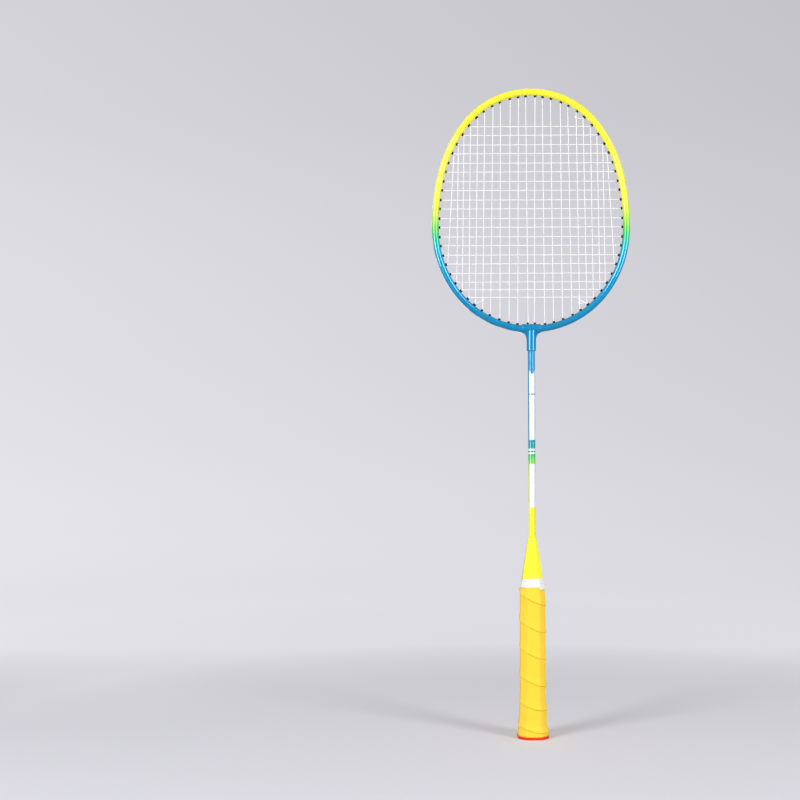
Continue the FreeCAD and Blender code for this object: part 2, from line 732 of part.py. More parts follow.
def nail_recesses():
    """The nails' holes, open at the cap's bottom face."""
    recesses = []
    for side in (-1, 1):
        foot = Vector(side * NAIL_SPACING / 2, 0, 0)
        recesses.append(cylinder(NAIL_HEAD_RADIUS + FIT, foot, foot + Z * (NAIL_SINK + 0.1)))
        recesses.append(nail_form(side, FIT))
    return recesses


def make_handle_core():
    nose = octagon_loft((CORE_STATIONS[-1], CORE_NOSE_TOP))
    core = core_form().fuse(nose).removeSplitter()
    bore = cylinder(SHAFT_RADIUS + FIT, Vector(0, 0, SHAFT_BOTTOM), Vector(0, 0, CORE_NOSE_TOP[0]))
    return core.cut([bore, pin_form(FIT), tack_form(FIT)] + nail_recesses())


def make_cone_cap():
    cone = octagon_loft((CONE_BOTTOM, CONE_SHOULDER))
    long_edges = [e for e in cone.Edges if e.BoundBox.ZLength > 1.0]
    cone = cone.makeFillet(CONE_EDGE, long_edges)
    rise = CONE_TOP[0] - CONE_SHOULDER[0]
    lip = Part.makeCone(CONE_SHOULDER[1] / 2, CONE_TOP[1] / 2, rise, Z * CONE_SHOULDER[0])
    bore = cylinder(SHAFT_RADIUS + FIT, Vector(0, 0, CONE_INSIDE[1][0]), Vector(0, 0, CONE_TOP[0]))
    return cone.fuse(lip).cut([octagon_loft(CONE_INSIDE), bore])


def make_finishing_tape():
    def cone_width(z):
        share = (z - CONE_BOTTOM[0]) / (CONE_SHOULDER[0] - CONE_BOTTOM[0])
        return CONE_BOTTOM[1] + (CONE_SHOULDER[1] - CONE_BOTTOM[1]) * share

    ends = (TAPE_BOTTOM, TAPE_TOP)
    outside = octagon_loft([(z, cone_width(z) + 2 * TAPE_THICKNESS) for z in ends])
    inside = octagon_loft([(z, cone_width(z)) for z in ends])
    return outside.cut(inside)


def make_grip_wrap():
    return octagon_loft(GRIP_STATIONS).cut([core_form(), tack_form(FIT)])


def make_butt_cap():
    plate = Part.Face(octagon(0.0, CAP_WIDTH)).extrude(Z * CAP_HEIGHT)
    corners = [e for e in plate.Edges if e.BoundBox.ZLength > 1.0]
    plate = plate.makeFillet(CAP_CORNER, corners)
    rims = [e for e in plate.Edges if e.BoundBox.ZLength < 0.01]
    plate = plate.makeFillet(CAP_EDGE, rims)
    return plate.cut(nail_recesses())


# ---- the assembly -------------------------------------------------------------------------------
def make_pieces():
    pieces = {
        "head_frame": make_head_frame(),
        "t_joint": make_t_joint(),
        "shaft": make_shaft(),
        "shaft_pin": pin_form(0.0),
        "handle_core": make_handle_core(),
        "cone_cap": make_cone_cap(),
        "grip_wrap": make_grip_wrap(),
        "grip_tack": tack_form(0.0),
        "finishing_tape": make_finishing_tape(),
        "butt_cap": make_butt_cap(),
        "butt_cap_nails": Part.makeCompound([nail_form(side, 0.0) for side in (-1, 1)]),
    }
    for name, holes in grommet_groups().items():
        pieces[name] = Part.makeCompound([make_grommet(hole) for hole in holes])
    pieces["main_string"] = make_main_string()
    pieces["cross_string"] = make_cross_string()
    return pieces


def main():
    os.makedirs("parts", exist_ok=True)
    for name, shape in make_pieces().items():
        shape.exportStep(f"parts/{name}.step")
        box = shape.BoundBox
        print(
            f"{name:24s} {len(shape.Solids):3d} solids, valid {shape.isValid()}, {shape.Volume:9.1f} mm3,"
            f" x {box.XMin:.1f} {box.XMax:.1f}, y {box.YMin:.1f} {box.YMax:.1f},"
            f" z {box.ZMin:.1f} {box.ZMax:.1f}"
        )


main()
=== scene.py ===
import bisect
import math

import bmesh
import bpy
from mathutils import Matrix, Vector


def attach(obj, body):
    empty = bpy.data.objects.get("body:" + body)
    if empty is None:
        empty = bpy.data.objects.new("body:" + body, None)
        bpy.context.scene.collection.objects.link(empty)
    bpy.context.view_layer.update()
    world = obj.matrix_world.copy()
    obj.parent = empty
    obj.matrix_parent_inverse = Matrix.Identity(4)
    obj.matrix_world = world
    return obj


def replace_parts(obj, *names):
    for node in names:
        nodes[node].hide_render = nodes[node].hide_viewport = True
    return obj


# A badminton racket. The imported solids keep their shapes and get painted, and the two wound
# strips, the grip and the finishing tape, are built here. Lengths are in millimetres until a mesh
# or a light is made, then in metres. -Y is the racket's front and +Z runs up the shaft.

MM = 0.001
BLACK = (0, 0, 0)
NOISE_RANGE = (0.25, 0.75)  # most of a noise's values lie between these
SOFT_END = 0.15  # half the length over which a painted line's ends fade, in millimetres

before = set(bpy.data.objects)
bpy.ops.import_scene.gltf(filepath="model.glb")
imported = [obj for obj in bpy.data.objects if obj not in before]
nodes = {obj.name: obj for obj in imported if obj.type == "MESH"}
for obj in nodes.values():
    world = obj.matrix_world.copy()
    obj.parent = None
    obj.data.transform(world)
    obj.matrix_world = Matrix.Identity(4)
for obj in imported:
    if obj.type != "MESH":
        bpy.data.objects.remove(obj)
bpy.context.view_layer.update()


# ---- node materials -----------------------------------------------------------------------------
def linear(rgb):
    """An sRGB colour of 0 to 255 as the linear colour that a shader takes."""
    scaled = [c / 255 for c in rgb]
    return [c / 12.92 if c <= 0.04045 else ((c + 0.055) / 1.055) ** 2.4 for c in scaled] + [1.0]


class Paint:
    """A material with a Principled shader, and short ways to add nodes to it."""

    def __init__(self, name, **constants):
        self.material = bpy.data.materials.new(name)
        self.material.use_nodes = True
        self.tree = self.material.node_tree
        self.shader = self.tree.nodes["Principled BSDF"]
        for socket, value in constants.items():
            self.shader.inputs[socket.replace("_", " ")].default_value = value
        coordinates = self.tree.nodes.new("ShaderNodeTexCoord")
        scale = self.tree.nodes.new("ShaderNodeVectorMath")
        scale.operation = "SCALE"
        scale.inputs["Scale"].default_value = 1 / MM
        self.link(coordinates.outputs["Object"], scale.inputs[0])
        self.place = scale.outputs[0]
        split = self.tree.nodes.new("ShaderNodeSeparateXYZ")
        self.link(self.place, split.inputs[0])
        self.x, self.y, self.z = split.outputs

    def link(self, source, target):
        self.tree.links.new(source, target)

    def feed(self, value, socket):
        if hasattr(value, "links"):
            self.link(value, socket)
        else:
            socket.default_value = value

    def math(self, operation, a, b=0.0):
        node = self.tree.nodes.new("ShaderNodeMath")
        node.operation = operation
        self.feed(a, node.inputs[0])
        self.feed(b, node.inputs[1])
        return node.outputs[0]

    def spread(self, value, low, high, to_low=0.0, to_high=1.0):
        """value from low..high as to_low..to_high, held at both ends."""
        node = self.tree.nodes.new("ShaderNodeMapRange")
        self.feed(value, node.inputs["Value"])
        limits = (("From Min", low), ("From Max", high), ("To Min", to_low), ("To Max", to_high))
        for socket, number in limits:
            node.inputs[socket].default_value = number
        return node.outputs[0]

    def between(self, value, low, high):
        """1 where value lies between low and high, with soft ends."""
        rises = self.spread(value, low - SOFT_END, low + SOFT_END)
        falls = self.spread(value, high - SOFT_END, high + SOFT_END, 1.0, 0.0)
        return self.math("MULTIPLY", rises, falls)

    def noise(self, scale, detail=3.0, place=None):
        """Noise of about 0 to 1 with features of 1/scale millimetres."""
        node = self.tree.nodes.new("ShaderNodeTexNoise")
        self.link(place or self.place, node.inputs["Vector"])
        node.inputs["Scale"].default_value = scale
        node.inputs["Detail"].default_value = detail
        return node.outputs["Fac"]

    def cells(self, scale):
        """Pores about 1/scale millimetres apart: the distance from each one's middle."""
        node = self.tree.nodes.new("ShaderNodeTexVoronoi")
        self.link(self.place, node.inputs["Vector"])
        node.inputs["Scale"].default_value = scale
        return node.outputs["Distance"]

    def stretched(self, x, y, z):
        """The place, multiplied along each axis."""
        node = self.tree.nodes.new("ShaderNodeVectorMath")
        node.operation = "MULTIPLY"
        self.link(self.place, node.inputs[0])
        node.inputs[1].default_value = (x, y, z)
        return node.outputs[0]

    def ramp(self, value, stops):
        """A colour by value, from (value, colour) stops."""
        low, high = stops[0][0], stops[-1][0]
        node = self.tree.nodes.new("ShaderNodeValToRGB")
        self.link(self.spread(value, low, high), node.inputs[0])
        elements = node.color_ramp.elements
        while len(elements) < len(stops):
            elements.new(0.5)
        for element, (at, colour) in zip(elements, stops):
            element.position = (at - low) / (high - low)
            element.color = linear(colour)
        return node.outputs["Color"]

    def mix(self, factor, a, b):
        """Colour a where factor is 0 and b where it is 1."""
        node = self.tree.nodes.new("ShaderNodeMix")
        node.data_type = "RGBA"
        self.feed(factor, node.inputs["Factor"])
        for value, socket in ((a, node.inputs["A"]), (b, node.inputs["B"])):
            if isinstance(value, tuple):
                value = linear(value)
            self.feed(value, socket)
        return node.outputs["Result"]

    def tinted(self, colour, fac, amount):
        """colour made up to amount lighter and darker by fac."""
        node = self.tree.nodes.new("ShaderNodeHueSaturation")
        self.feed(linear(colour) if isinstance(colour, tuple) else colour, node.inputs["Color"])
        self.link(self.spread(fac, *NOISE_RANGE, 1.0 - amount, 1.0 + amount), node.inputs["Value"])
        return node.outputs["Color"]

    def colour(self, value):
        self.link(value, self.shader.inputs["Base Color"])

    def rough(self, fac, low, high):
        self.link(self.spread(fac, *NOISE_RANGE, low, high), self.shader.inputs["Roughness"])

    def bump(self, height, depth):
        """Raises the surface by up to depth millimetres where height is 1."""
        node = self.tree.nodes.new("ShaderNodeBump")
        node.inputs["Distance"].default_value = depth * MM
        self.link(height, node.inputs["Height"])
        if self.shader.inputs["Normal"].is_linked:
            self.link(self.shader.inputs["Normal"].links[0].from_socket, node.inputs["Normal"])
        self.link(node.outputs[0], self.shader.inputs["Normal"])


def cover(name, paint):
    materials = nodes[name].data.materials
    materials.clear()
    materials.append(paint.material)


LEMON = (255, 250, 60)
PANEL_WHITE = (244, 244, 246)
JOINT_BLUE = (0, 150, 204)
CAP_RED = (238, 44, 20)
GROMMET_BLACK = (12, 12, 13)
STRING_WHITE = (248, 248, 250)
WOOD_LIGHT = (222, 186, 138)
WOOD_DARK = (168, 118, 70)
STEEL_GREY = (176, 176, 174)
GRIP_YELLOW = (255, 217, 56)
# a darker copy of the grip's colour: painted shade under the lower edge of each turn
GRIP_SEAM_SHADE = (228, 182, 32)
TAPE_WHITE = (242, 242, 243)
# a darker copy of the tape's colour: painted shade along its edges
TAPE_EDGE_SHADE = (206, 205, 190)
PEARL = 0.45  # how metallic the head's and the joint's paint is

# The head's paint fades along its height, from (millimetres above the butt, colour).
HEAD_FADE = (
    (415, (0, 146, 200)),
    (465, (0, 158, 210)),
    (492, (0, 168, 208)),
    (500, (0, 178, 202)),
    (507, (0, 192, 180)),
    (514, (0, 200, 124)),
    (522, (92, 216, 84)),
    (530, (158, 234, 60)),
    (540, (214, 246, 50)),
    (552, LEMON),
    (666, LEMON),
)
HEAD_PEARL = (495.0, 535.0, PEARL, 0.15)  # between these heights it gets less metallic
HEAD_MIST = 1.6  # millimetres by which the fade's bands wander
SHAFT_FADE = (
    (204, LEMON),
    (240, LEMON),
    (270, (222, 244, 44)),
    (281, (140, 228, 70)),
    (290, (20, 190, 116)),
    (296, (0, 160, 150)),
    (306, (0, 150, 182)),
    (345, (20, 146, 186)),
    (375, (0, 146, 196)),
    (397, (0, 152, 204)),
)
SHAFT_MIST = 0.5
SHAFT_METALLIC = 0.1

# The shaft's white panels, in millimetres, and in degrees round the shaft.
PANEL_TURN = 8
PANEL_EDGE = (2.85, 3.05)  # distances from the panel's middle line over which its sides end
UPPER_PANEL_START = (305.2, 305.6)
UPPER_PANEL_TIP = 372.8
TIP_CURVE = 0.52  # the tip's sides are higher than its middle by this times their distance squared
TIP_SOFTNESS = 0.2
PANEL_LINE = (351.5, 352.6)
LOWER_PANEL = (236.1, 280.4)
SHAFT_RINGS = ((294.1, 296.1), (290.7, 292.5))


def sprayed(name, metallic=PEARL):
    """Pearl paint under a clear gloss coat, with a faint orange peel."""
    paint = Paint(
        name,
        Metallic=metallic,
        Specular_IOR_Level=0.0,
        Coat_Weight=0.9,
        Coat_IOR=1.8,
        Coat_Roughness=0.06,
    )
    paint.rough(paint.noise(0.08), 0.36, 0.44)
    paint.bump(paint.noise(0.7, 2.0), 0.012)
    return paint


def misty_fade(paint, grain, reach, stops):
    """A fade along the height, whose bands wander up and down by reach millimetres."""
    mist = paint.spread(grain, 0.2, 0.8, -reach, reach)
    return paint.ramp(paint.math("ADD", paint.z, mist), stops)


def head_paint():
    paint = sprayed("head_paint")
    fade = misty_fade(paint, paint.noise(0.9, 4.0), HEAD_MIST, HEAD_FADE)
    paint.link(paint.spread(paint.z, *HEAD_PEARL), paint.shader.inputs["Metallic"])
    paint.colour(paint.tinted(fade, paint.noise(0.05), 0.035))
    return paint


def joint_paint():
    paint = sprayed("joint_paint")
    paint.colour(paint.tinted(JOINT_BLUE, paint.noise(0.12), 0.05))
    paint.bump(paint.noise(0.35, 3.0), 0.03)
    return paint


def shaft_paint():
    """White panels on the front and back between coloured sides, with rings and a curved tip."""
    paint = sprayed("shaft_paint", SHAFT_METALLIC)
    fade = misty_fade(paint, paint.noise(1.1, 3.0), SHAFT_MIST, SHAFT_FADE)
    turned = math.radians(PANEL_TURN)
    across = paint.math("MULTIPLY", paint.x, math.cos(turned))
    across = paint.math("ADD", across, paint.math("MULTIPLY", paint.y, math.sin(turned)))
    away = paint.math("ABSOLUTE", across)
    panel = paint.spread(away, *PANEL_EDGE, 1.0, 0.0)
    curve = paint.math("MULTIPLY", paint.math("MULTIPLY", away, away), TIP_CURVE)
    over_tip = paint.math("SUBTRACT", paint.z, paint.math("ADD", curve, UPPER_PANEL_TIP))
    below_tip = paint.spread(over_tip, -TIP_SOFTNESS, TIP_SOFTNESS, 1.0, 0.0)
    upper = paint.math("MULTIPLY", below_tip, paint.spread(paint.z, *UPPER_PANEL_START))
    upper = paint.math("SUBTRACT", upper, paint.between(paint.z, *PANEL_LINE))
    lower = paint.between(paint.z, *LOWER_PANEL)
    white = paint.math("MULTIPLY", panel, paint.math("MAXIMUM", upper, lower))
    for low, high in SHAFT_RINGS:
        white = paint.math("MAXIMUM", white, paint.between(paint.z, low, high))
    paint.colour(paint.mix(white, paint.tinted(fade, paint.noise(0.05), 0.03), PANEL_WHITE))
    return paint


def cone_plastic():
    paint = Paint("cone_plastic", Specular_IOR_Level=0.2, Coat_Weight=0.4, Coat_Roughness=0.12)
    paint.colour(paint.tinted(LEMON, paint.noise(0.1), 0.03))
    paint.rough(paint.noise(0.5), 0.26, 0.38)
    paint.bump(paint.noise(1.6, 2.0), 0.01)
    return paint


def grip_leather(name, colour):
    """Synthetic leather: fine pores, a soft sheen, and slightly deeper colour in patches."""
    paint = Paint(name, Specular_IOR_Level=0.3, Coat_Weight=0.12, Coat_Roughness=0.3)
    paint.colour(paint.tinted(colour, paint.noise(0.06, 4.0), 0.03))
    paint.rough(paint.noise(0.5, 5.0), 0.42, 0.58)
    paint.bump(paint.cells(2.2), 0.07)
    paint.bump(paint.noise(1.1, 4.0), 0.06)
    paint.bump(paint.noise(0.3, 3.0), 0.16)
    return paint


def tape_vinyl(name, colour):
    paint = Paint(name, Specular_IOR_Level=0.5, Coat_Weight=0.2, Coat_Roughness=0.1)
    paint.colour(paint.tinted(colour, paint.noise(0.3), 0.02))
    paint.rough(paint.noise(0.8), 0.3, 0.45)
    paint.bump(paint.noise(0.5, 3.0), 0.1)
    return paint


def cap_plastic():
    paint = Paint("cap_plastic", Specular_IOR_Level=0.5)
    paint.colour(paint.tinted(CAP_RED, paint.noise(0.15), 0.05))
    paint.rough(paint.noise(0.9), 0.28, 0.42)
    paint.bump(paint.noise(1.3, 2.0), 0.015)
    return paint


def grommet_nylon():
    paint = Paint("grommet_nylon", Specular_IOR_Level=0.2)
    paint.colour(paint.tinted(GROMMET_BLACK, paint.noise(0.4), 0.25))
    paint.rough(paint.noise(1.5), 0.38, 0.55)
    paint.bump(paint.noise(3.0, 2.0), 0.015)
    return paint


def string_nylon():
    """White multifilament: a faintly uneven surface with a slight shine."""
    paint = Paint("string_nylon", Specular_IOR_Level=0.3)
    paint.colour(paint.tinted(STRING_WHITE, paint.noise(0.4), 0.02))
    paint.rough(paint.noise(2.0), 0.45, 0.6)
    paint.bump(paint.noise(4.0, 2.0), 0.02)
    return paint


def core_wood():
    paint = Paint("core_wood", Roughness=0.7)
    rings = paint.noise(0.35, 4.0, paint.stretched(1.0, 1.0, 0.05))
    grain = paint.noise(1.8, 3.0, paint.stretched(1.0, 1.0, 0.03))
    paint.colour(paint.mix(paint.math("MULTIPLY", rings, grain), WOOD_LIGHT, WOOD_DARK))
    paint.bump(grain, 0.05)
    return paint


def bright_steel():
    paint = Paint("bright_steel", Metallic=1.0)
    paint.colour(paint.tinted(STEEL_GREY, paint.noise(0.5), 0.06))
    paint.rough(paint.noise(1.5, 3.0, paint.stretched(1.0, 1.0, 6.0)), 0.25, 0.45)
    paint.bump(paint.noise(2.5, 2.0), 0.01)
    return paint


cover("head_frame", head_paint())
cover("t_joint", joint_paint())
cover("shaft", shaft_paint())
cover("cone_cap", cone_plastic())
cover("butt_cap", cap_plastic())
cover("handle_core", core_wood())
grommet_black = grommet_nylon()
string_white = string_nylon()
steel = bright_steel()
leather = grip_leather("grip_leather", GRIP_YELLOW)
# a darker copy of the grip leather, which paints the shade under each seam's lip
leather_seam_shade = grip_leather("grip_leather_seam_shade", GRIP_SEAM_SHADE)
vinyl = tape_vinyl("tape_vinyl", TAPE_WHITE)
# a darker copy of the tape vinyl, which paints the shade along the tape's edges
vinyl_edge_shade = tape_vinyl("tape_vinyl_edge_shade", TAPE_EDGE_SHADE)
for name in nodes:
    if name.startswith("grommets"):
        cover(name, grommet_black)
for name in ("main_string", "cross_string"):
    cover(name, string_white)
for name in ("shaft_pin", "butt_cap_nails", "grip_tack"):
    cover(name, steel)
cover("grip_wrap", leather)
cover("finishing_tape", vinyl)


# ---- wound strips -------------------------------------------------------------------------------
def read(table, at):
    """The value at a place in a table of (place, value), straight between its rows."""
    places = [row[0] for row in table]
    if at <= places[0]:
        return table[0][1]
    if at >= places[-1]:
        return table[-1][1]
    i = bisect.bisect(places, at)
    (a, low), (b, high) = table[i - 1], table[i]
    return low + (high - low) * (at - a) / (b - a)


def eased(t):
    """0 to 1 as t goes from 0 to 1, slow at both ends."""
    t = min(max(t, 0.0), 1.0)
    return t * t * (3 - 2 * t)


FLAT_SHARE = 0.5  # the front flat's share of the handle's width
CORNER_STEPS = 5
FLAT_STEPS = 5
OCTAGON_SIZE = 12.0  # half a handle's width, up to which a ring is scaled and not pushed outwards
PLANE_TOLERANCE = 1e-7
MERGE_DISTANCE = 1e-6


def octagon_ring(rounding, crown):
    """Points round an octagon of width 2 with rounded corners and slightly crowned flats.

    Each is (share of the way round, x, y, normal x, normal y), from the front's middle to -X.
    """
    cut = rounding * math.tan(math.pi / 8)
    flat, slant = FLAT_SHARE, (1 - FLAT_SHARE) * math.sqrt(2) / 2
    points = []
    for side in range(8):
        angle = -math.pi / 2 - side * math.pi / 4
        out = Vector((math.cos(angle), math.sin(angle)))
        along = Vector((out.y, -out.x))
        half = flat if side % 2 == 0 else slant
        reach = 1.0 if side % 2 == 0 else (1 + FLAT_SHARE) / math.sqrt(2)
        for i in range(FLAT_STEPS):
            s = -1 + 2 * i / (FLAT_STEPS - 1)
            spot = out * (reach + crown * (1 - s * s)) + along * (half - cut) * s
            points.append((spot, out))
        corner = out * (reach - rounding) + along * (half - cut)
        for i in range(1, CORNER_STEPS):
            turn = angle - math.pi / 4 * i / CORNER_STEPS
            way = Vector((math.cos(turn), math.sin(turn)))
            points.append((corner + way * rounding, way))
    middle = FLAT_STEPS // 2
    points = points[middle:] + points[:middle]
    lengths = [0.0]
    for (a, _), (b, _) in zip(points, points[1:] + points[:1]):
        lengths.append(lengths[-1] + (b - a).length)
    return [(s / lengths[-1], p.x, p.y, n.x, n.y) for s, (p, n) in zip(lengths, points)]


def wound_strip(ring, first_turn, last_turn, section, shaded_faces):
    """A closed strip wound round the handle.

    section(turns) gives its outline, as (height, half width) pairs. The faces of the outline
    named by the last argument take the second material, a darker colour: painted edge shade.
    """
    mesh = bmesh.new()
    loops = []
    for whole in range(math.floor(first_turn), math.ceil(last_turn)):
        for share, x, y, nx, ny in ring:
            turns = whole + share
            if not first_turn <= turns <= last_turn:
                continue
            loop = []
            for height, half in section(turns):
                push = half - OCTAGON_SIZE
                place = (x * OCTAGON_SIZE + nx * push, y * OCTAGON_SIZE + ny * push, height)
                loop.append(mesh.verts.new(Vector(place) * MM))
            loops.append(loop)
    for a, b in zip(loops, loops[1:]):
        for i in range(len(a)):
            j = (i + 1) % len(a)
            face = mesh.faces.new((a[i], a[j], b[j], b[i]))
            face.material_index = 1 if i in shaded_faces else 0
    mesh.faces.new(loops[0][::-1])
    mesh.faces.new(loops[-1])
    return mesh


def split_at(mesh, height, keep=0):
    """Adds an edge loop at a height. With keep, only what is above (1) or below it (-1) stays."""
    return bmesh.ops.bisect_plane(
        mesh,
        geom=mesh.verts[:] + mesh.edges[:] + mesh.faces[:],
        dist=PLANE_TOLERANCE,
        plane_co=(0, 0, height * MM),
        plane_no=(0, 0, keep or 1),
        clear_inner=bool(keep),
    )


def cut_flat(mesh, height, keep):
    """Cuts the mesh at a height, keeps what is above (1) or below it (-1), and closes it."""
    cut = split_at(mesh, height, keep)
    edges = [e for e in cut["geom_cut"] if isinstance(e, bmesh.types.BMEdge)]
    bmesh.ops.holes_fill(mesh, edges=edges, sides=0)


def finished(name, mesh, paints, sharp):
    """The mesh as a piece of the racket, smooth except where it bends by over sharp degrees."""
    bmesh.ops.recalc_face_normals(mesh, faces=mesh.faces)
    for face in mesh.faces:
        face.smooth = True
    for edge in mesh.edges:
        edge.smooth = len(edge.link_faces) == 2 and edge.calc_face_angle() < math.radians(sharp)
    data = bpy.data.meshes.new(name)
    mesh.to_mesh(data)
    mesh.free()
    piece = bpy.data.objects.new(name, data)
    bpy.context.scene.collection.objects.link(piece)
    for paint in paints:
        data.materials.append(paint.material)
    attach(piece, "root")
    return piece


# The grip: half its width by height, and the height at the front of each turn's lower edge.
GRIP_BOTTOM = 2.55
GRIP_TOP = 154.9
GRIP_HALF = (
    (2.6, 15.5), (6.5, 15.2), (9.5, 14.7), (13.0, 14.2), (17.0, 13.95), (24.0, 13.85), (28.0, 13.7),
    (32.0, 13.3), (36.0, 13.05), (44.0, 12.9), (60.0, 12.85), (100.0, 12.75), (125.0, 12.8),
    (140.0, 12.7), (148.0, 12.5), (152.0, 12.2), (154.8, 11.85),
)
SEAM_HEIGHTS = (
    (-2, -38.0), (-1, -15.0), (0, 7.9), (1, 30.7), (2, 56.3), (3, 84.5), (4, 111.9), (5, 140.0),
    (6, 167.5),
)
SEAM_SWAY = ((0, 1.9), (1, 1.8), (2, 0.6), (4, 0.0), (6, 0.3))  # towards the sides
SEAM_RIPPLE = 1.2  # the strip climbs faster over the front and back than over the sides
SEAM_RIPPLE_TURN = 0.05
LAP = 4.6  # how far a turn reaches up under the next
STRIP_THICKNESS = 1.2
GRIP_TURNS = (-1.4, 6.0)
# The strip's outer surface by distance above its lower edge, and above the next turn's lower edge.
LOWER_EDGE = (
    (-0.15, 0.0), (-0.1, 0.3), (0.15, 0.55), (0.5, 0.75), (0.9, 0.85), (1.4, 0.87), (2.2, 0.78),
    (3.2, 0.6), (4.6, 0.38), (6.2, 0.2), (8.0, 0.07), (10.0, 0.0),
)
GRIP_SHADED_FACES = (0, 1, 2)  # the faces of its outline at each seam's lip, coloured darker as painted shade under the lip
UPPER_EDGE = ((-0.4, 0.0), (0.0, -0.03), (0.25, -0.25), (0.6, -0.6), (1.1, -0.7), (LAP, -0.7))
# The strip's inner surface, from top to bottom, by distance above its lower edge. It lies on the
# turn below.
UNDERSIDE = (
    (7.0, -STRIP_THICKNESS), (5.2, -1.05), (4.2, -0.62), (1.1, -0.62), (0.6, -0.52), (0.25, -0.2),
)
UNDERSIDE_PLAIN = 9.0  # above this the inner surface is plain
UPPER_TUCK = 0.3  # how much further in the covered upper edge ends
PLAIN_STEPS = 6
# Both ends of the grip bend inwards by TUCK, over these heights.
TUCK = 0.5
BOTTOM_TUCK = 1.1
TOP_TUCK = 0.8
TUCK_LOOPS = (
    GRIP_BOTTOM + 0.2, GRIP_BOTTOM + 0.5, GRIP_BOTTOM + BOTTOM_TUCK, GRIP_TOP - TOP_TUCK,
    GRIP_TOP - 0.3,
)


def seam_height(turns):
    """The height of the strip's lower edge after so many turns."""
    sway = read(SEAM_SWAY, turns) * math.sin(2 * math.pi * turns)
    ripple = math.sin(4 * math.pi * (turns - SEAM_RIPPLE_TURN))
    ripple += math.sin(4 * math.pi * SEAM_RIPPLE_TURN)
    return read(SEAM_HEIGHTS, turns) - sway + SEAM_RIPPLE * ripple


def grip_section(turns):
    low = seam_height(turns)
    high = seam_height(turns + 1)
    steps = [i / PLAIN_STEPS for i in range(1, PLAIN_STEPS)]
    outer = [(low + d, o) for d, o in LOWER_EDGE]
    start, end = low + LOWER_EDGE[-1][0], high + UPPER_EDGE[0][0]
    outer += [(start + (end - start) * t, 0.0) for t in steps]
    outer += [(high + d, o) for d, o in UPPER_EDGE]
    inner = [(high + LAP, -STRIP_THICKNESS - UPPER_TUCK)]
    start, end = high + LAP, low + UNDERSIDE_PLAIN
    inner += [(start + (end - start) * t, -STRIP_THICKNESS) for t in steps]
    inner += [(low + d, o) for d, o in UNDERSIDE]
    return [(height, read(GRIP_HALF, height) + offset) for height, offset in outer + inner]


def build_grip():
    ring = octagon_ring(rounding=0.30, crown=0.006)
    mesh = wound_strip(ring, *GRIP_TURNS, grip_section, GRIP_SHADED_FACES)
    cut_flat(mesh, GRIP_BOTTOM, 1)
    cut_flat(mesh, GRIP_TOP, -1)
    for height in TUCK_LOOPS:
        split_at(mesh, height)
    for vertex in mesh.verts:
        height = vertex.co.z / MM
        flat = Vector((vertex.co.x, vertex.co.y, 0))
        tucked = TUCK * (1 - eased((height - GRIP_BOTTOM) / BOTTOM_TUCK))
        tucked += TUCK * (1 - eased((GRIP_TOP - height) / TOP_TUCK))
        if flat.length > 0:
            vertex.co -= flat.normalized() * tucked * MM
    bmesh.ops.dissolve_degenerate(mesh, dist=MERGE_DISTANCE, edges=mesh.edges)
    return finished("grip_strip", mesh, (leather, leather_seam_shade), sharp=50)


# The finishing tape: it starts level under the cone and ends lower, in a tab at the front right.
TAPE_ROWS = (0.0, 0.4, 1.3, 2.3, 3.3, 4.3, 5.2, 6.1, 6.5)  # millimetres above its lower edge
TAPE_SHADED_FACES = (0, 7)  # the rounded faces of its outline along both edges, coloured darker as painted shade
TAPE_ROUNDING = (0.2, 0.03)  # how far in its first and last two rows lie
TAPE_THICKNESS = 0.24
TAPE_GAP = 0.01  # between its layers
TAPE_HALF = (
    (151.0, 12.62), (152.5, 12.4), (154.0, 12.1), (155.0, 11.85), (156.5, 11.7), (158.0, 11.5),
    (160.0, 11.15), (162.0, 10.8), (164.0, 10.45),
)
TAPE_LOWEST = 152.3
TAPE_FALL = 2.45  # each turn
TAPE_END = -0.073  # turns, from the front's middle to -X
TAPE_TURNS = 2.3


def tape_section(turns):
    wound = TAPE_END - turns
    low = TAPE_LOWEST + TAPE_FALL * wound
    lift = TAPE_THICKNESS * (TAPE_TURNS - wound)
    heights = [low + h for h in TAPE_ROWS]
    flat = [0.0] * (len(TAPE_ROWS) - 2 * len(TAPE_ROUNDING))
    edge = [*TAPE_ROUNDING, *flat, *reversed(TAPE_ROUNDING)]
    outer = [(h, read(TAPE_HALF, h) + lift - e) for h, e in zip(heights, edge)]
    under = lift - TAPE_THICKNESS + TAPE_GAP
    inner = [(h, read(TAPE_HALF, h) + under) for h in reversed(heights)]
    return outer + inner


def build_tape():
    ring = octagon_ring(rounding=0.34, crown=0.01)
    mesh = wound_strip(ring, TAPE_END - TAPE_TURNS, TAPE_END, tape_section, TAPE_SHADED_FACES)
    return finished("finishing_tape_strip", mesh, (vinyl, vinyl_edge_shade), sharp=60)


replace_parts(build_grip(), "grip_wrap")
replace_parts(build_tape(), "finishing_tape")

# ---- floor and backdrop -------------------------------------------------------------------------
# Sizes in metres.
FLOOR_RADIUS = 2.3
FLOOR_RINGS = (0.02, 0.3, 1.0, FLOOR_RADIUS)
SWEEP_RADIUS = 1.2
WALL_TOP = 3.2
AROUND = 96
SWEEP_STEPS = 12

